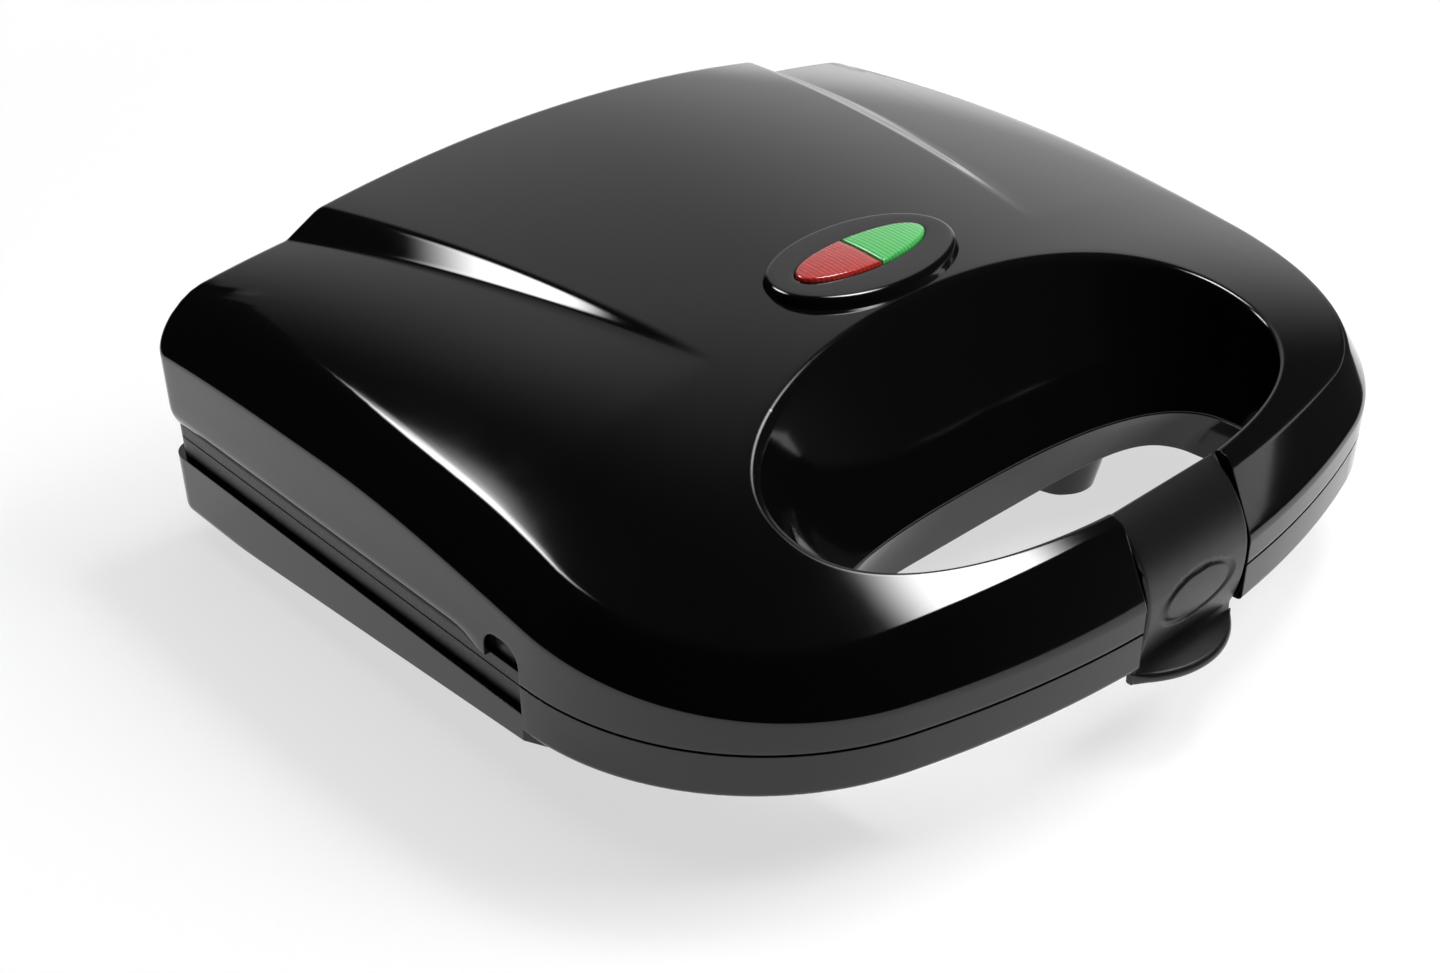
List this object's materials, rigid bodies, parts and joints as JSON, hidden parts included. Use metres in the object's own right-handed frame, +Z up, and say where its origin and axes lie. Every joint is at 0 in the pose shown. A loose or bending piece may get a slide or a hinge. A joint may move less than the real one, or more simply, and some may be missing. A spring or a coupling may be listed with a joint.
{
  "type": "sandwich maker",
  "caption": "Compact sandwich maker with a domed black lid hinged at the back, pocketed plates, a finger opening in the handle, indicator lamps and a front latch clip.",
  "frame": {"origin": "on the floor under the middle of the whole, hinge barrels and thumb lip included", "axes": "+Z up, +X to the right seen from the front, -Y towards the handle"},
  "size_m": [0.224, 0.2152, 0.0753],
  "materials": {
    "gloss_black_shell": "glossy moulded",
    "black_phenolic_frame": "satin moulded",
    "satin_black_clip": "fine satin",
    "nonstick_plate": "non-stick coated aluminium",
    "heater_sheath": "drawn and annealed",
    "reflector_steel": "bright sheet",
    "zinc_screws": "zinc plated",
    "steel_pins": "drawn bright",
    "red_lens_acrylic": "translucent red, polished",
    "green_lens_acrylic": "translucent green, polished",
    "lamp_glass": "clear",
    "white_nylon": "satin moulded",
    "thermostat_ceramic": "unglazed",
    "fuse_body": "plated",
    "lead_sleeve": "glass-fibre sleeve",
    "black_rubber": "matte"
  },
  "bodies": {
    "base": {"base_housing": "gloss_black_shell", "base_frame": "black_phenolic_frame", "lower_plate": "nonstick_plate", "lower_reflector": "reflector_steel", "lower_heater": "heater_sheath", "lower_plate_screws": "zinc_screws", "base_screws": "zinc_screws", "thermostat": "thermostat_ceramic", "thermal_fuse": "fuse_body", "terminal_block": "white_nylon", "base_wiring": "lead_sleeve", "cord_gland": "black_rubber", "cord_clamp": "white_nylon", "cord_clamp_screws": "zinc_screws", "hinge_pins": "steel_pins", "rubber_feet": "black_rubber"},
    "lid": {"lid_cover": "gloss_black_shell", "lid_frame": "black_phenolic_frame", "upper_plate": "nonstick_plate", "upper_reflector": "reflector_steel", "upper_heater": "heater_sheath", "upper_plate_screws": "zinc_screws", "lid_screws": "zinc_screws", "lamp_bezel": "gloss_black_shell", "red_lens": "red_lens_acrylic", "green_lens": "green_lens_acrylic", "lamp_holder": "white_nylon", "neon_lamps": "lamp_glass", "lid_wiring": "lead_sleeve", "latch_pin": "steel_pins"},
    "clip": {"latch_clip": "satin_black_clip"}
  },
  "joints": [
    {"name": "lid_hinge", "type": "hinge", "parent": "base", "child": "lid", "pos_m": [0, 0.1026, 0.028], "axis": [-1, 0, 0], "range_deg": [0, 100]},
    {"name": "clip_hinge", "type": "hinge", "parent": "lid", "child": "clip", "pos_m": [0, -0.0945, 0.0462], "axis": [-1, 0, 0], "range_deg": [0, 20]}
  ]
}
